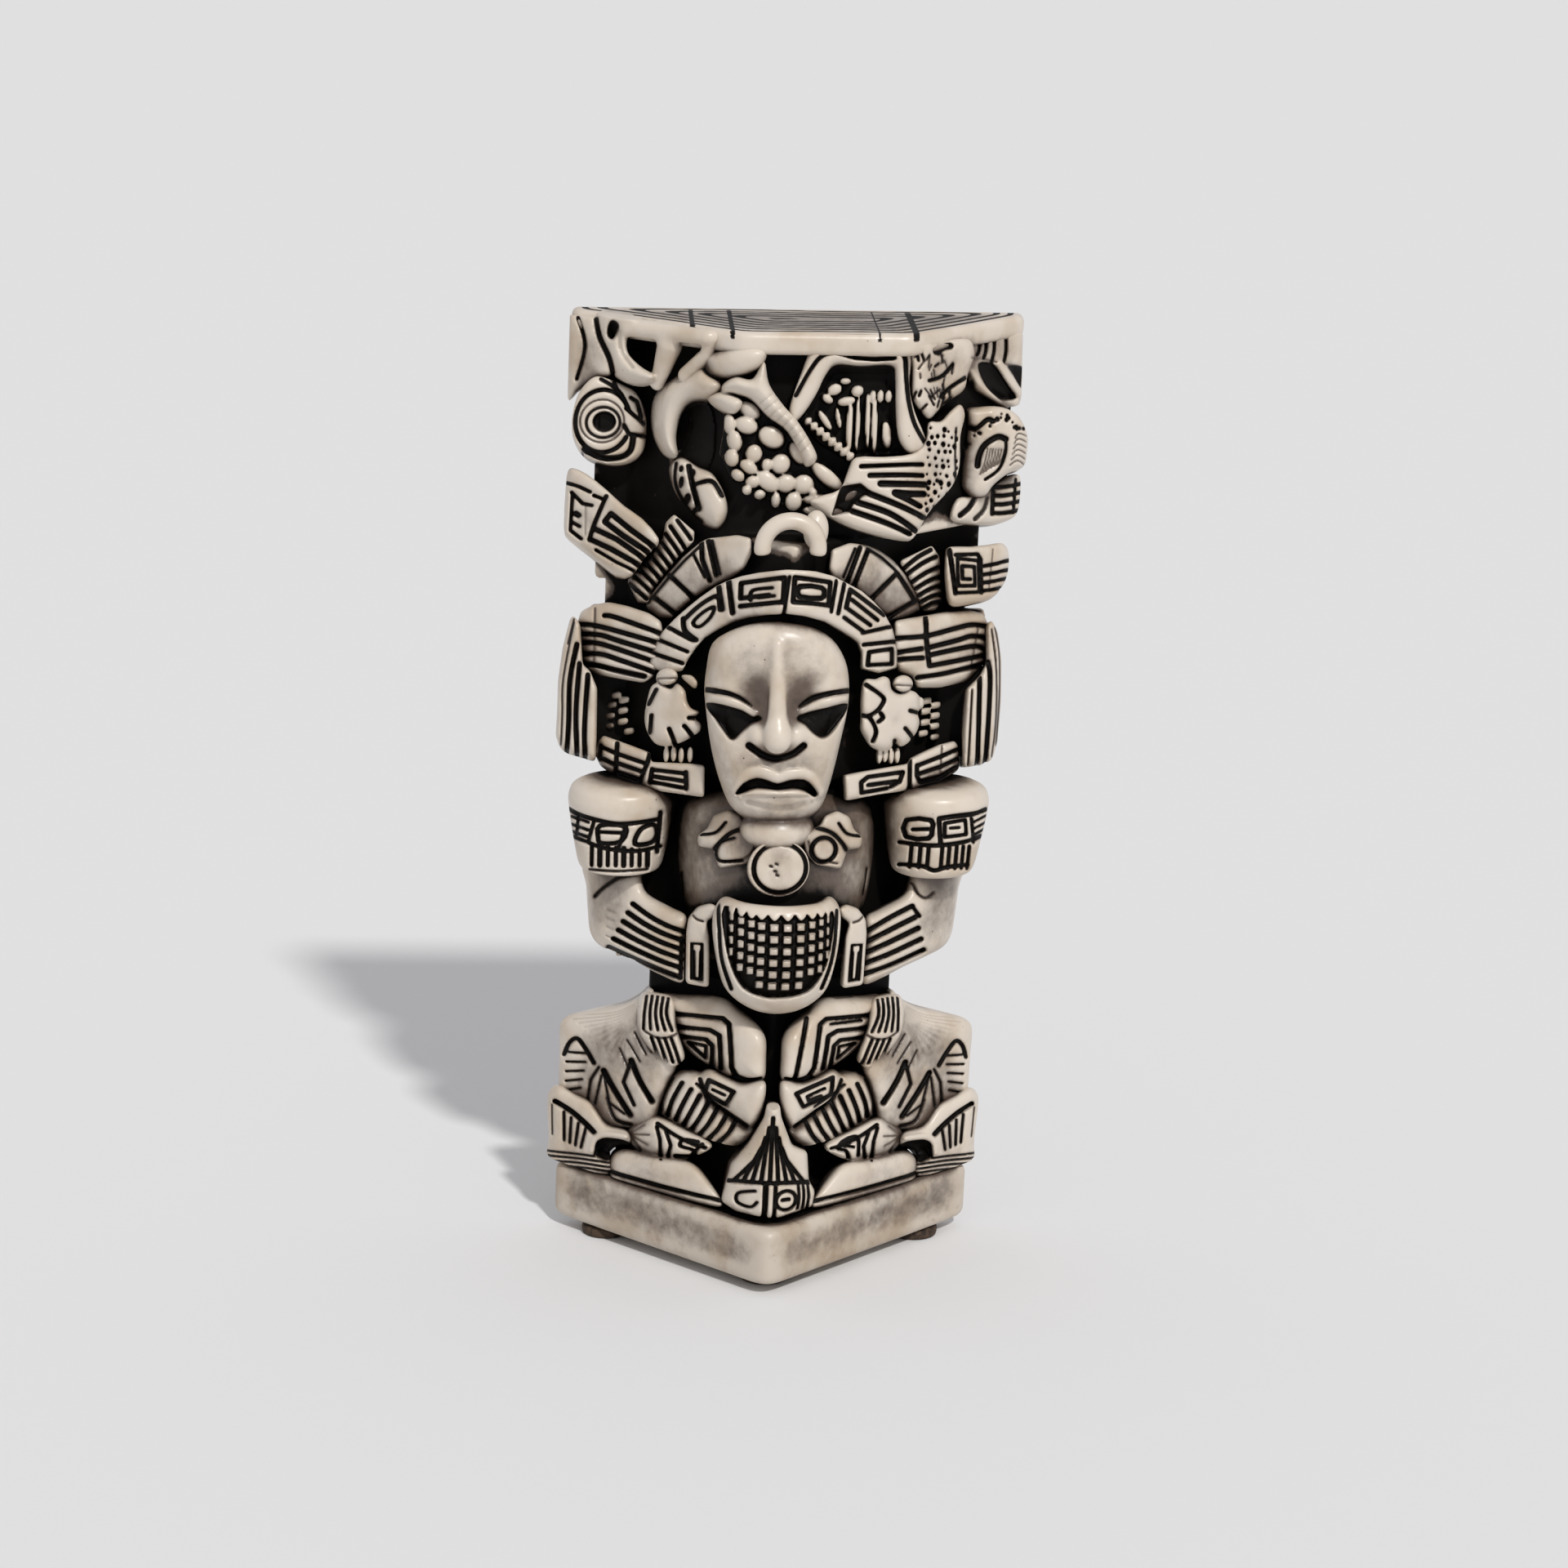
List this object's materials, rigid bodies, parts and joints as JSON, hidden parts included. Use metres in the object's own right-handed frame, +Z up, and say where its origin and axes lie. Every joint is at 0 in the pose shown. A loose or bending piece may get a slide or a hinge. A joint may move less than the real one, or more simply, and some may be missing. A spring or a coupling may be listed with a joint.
{
  "type": "ceremonial totem figure",
  "caption": "Flat-backed ceramic idol figure with a V-shaped front, a masked face under a banded head-dress, a grid apron, seated legs and a flat crown on a thick base.",
  "frame": {"origin": "under the middle of the figure, on the surface that its pads stand on", "axes": "+Z up, +X to the viewer's right, +Y from the face to the flat back"},
  "size_m": [0.1283, 0.066, 0.265],
  "materials": {
    "bone_ceramic": "antiqued bone-coloured ceramic with a dark wash left in the grooves, sealed satin",
    "washed_ceramic": "the same ceramic where the dark wash stays whole, sealed satin",
    "base": "rubbed-back bone ceramic with fine pores and tea-brown stains, satin",
    "pad": "fine cork, matte"
  },
  "bodies": {
    "root": {"base_slab": "base", "base_pad_left": "pad", "base_pad_right": "pad", "base_pad_front": "pad", "spine_core": "washed_ceramic", "foot_left": "bone_ceramic", "shin_left": "bone_ceramic", "thigh_left": "bone_ceramic", "hand_left": "bone_ceramic", "hip_wing_left": "bone_ceramic", "leaf_block_left": "bone_ceramic", "foot_right": "bone_ceramic", "shin_right": "bone_ceramic", "thigh_right": "bone_ceramic", "hand_right": "bone_ceramic", "hip_wing_right": "bone_ceramic", "leaf_block_right": "bone_ceramic", "loincloth": "bone_ceramic", "torso": "bone_ceramic", "medallion": "bone_ceramic", "arm_left": "bone_ceramic", "cuff_left": "bone_ceramic", "keyhole_tab_left": "bone_ceramic", "collar_petal_left": "bone_ceramic", "arm_right": "bone_ceramic", "cuff_right": "bone_ceramic", "keyhole_tab_right": "bone_ceramic", "collar_petal_right": "bone_ceramic", "basket_apron": "bone_ceramic", "face_mask": "bone_ceramic", "headband": "bone_ceramic", "rib_panel_left": "bone_ceramic", "side_panel_left": "bone_ceramic", "chin_band_left": "bone_ceramic", "head_rim_left": "bone_ceramic", "ear_flare_left": "bone_ceramic", "rib_panel_right": "bone_ceramic", "side_panel_right": "bone_ceramic", "chin_band_right": "bone_ceramic", "head_rim_right": "bone_ceramic", "ear_flare_right": "bone_ceramic", "band_block_left": "bone_ceramic", "band_block_right": "bone_ceramic", "feather_comb_left": "bone_ceramic", "feather_comb_right": "bone_ceramic", "loop_ornament": "bone_ceramic", "top_slab": "bone_ceramic", "hooked_beak": "bone_ceramic", "mottled_lobe": "bone_ceramic", "pebble_field": "bone_ceramic", "window_frame": "bone_ceramic", "slat_panel": "washed_ceramic", "finger_fan": "bone_ceramic", "feather_fan": "bone_ceramic", "drape_folds": "bone_ceramic", "knuckled_rod": "bone_ceramic", "ring_disc": "bone_ceramic", "rope_coil": "bone_ceramic", "stripe_block": "bone_ceramic"}
  },
  "joints": []
}
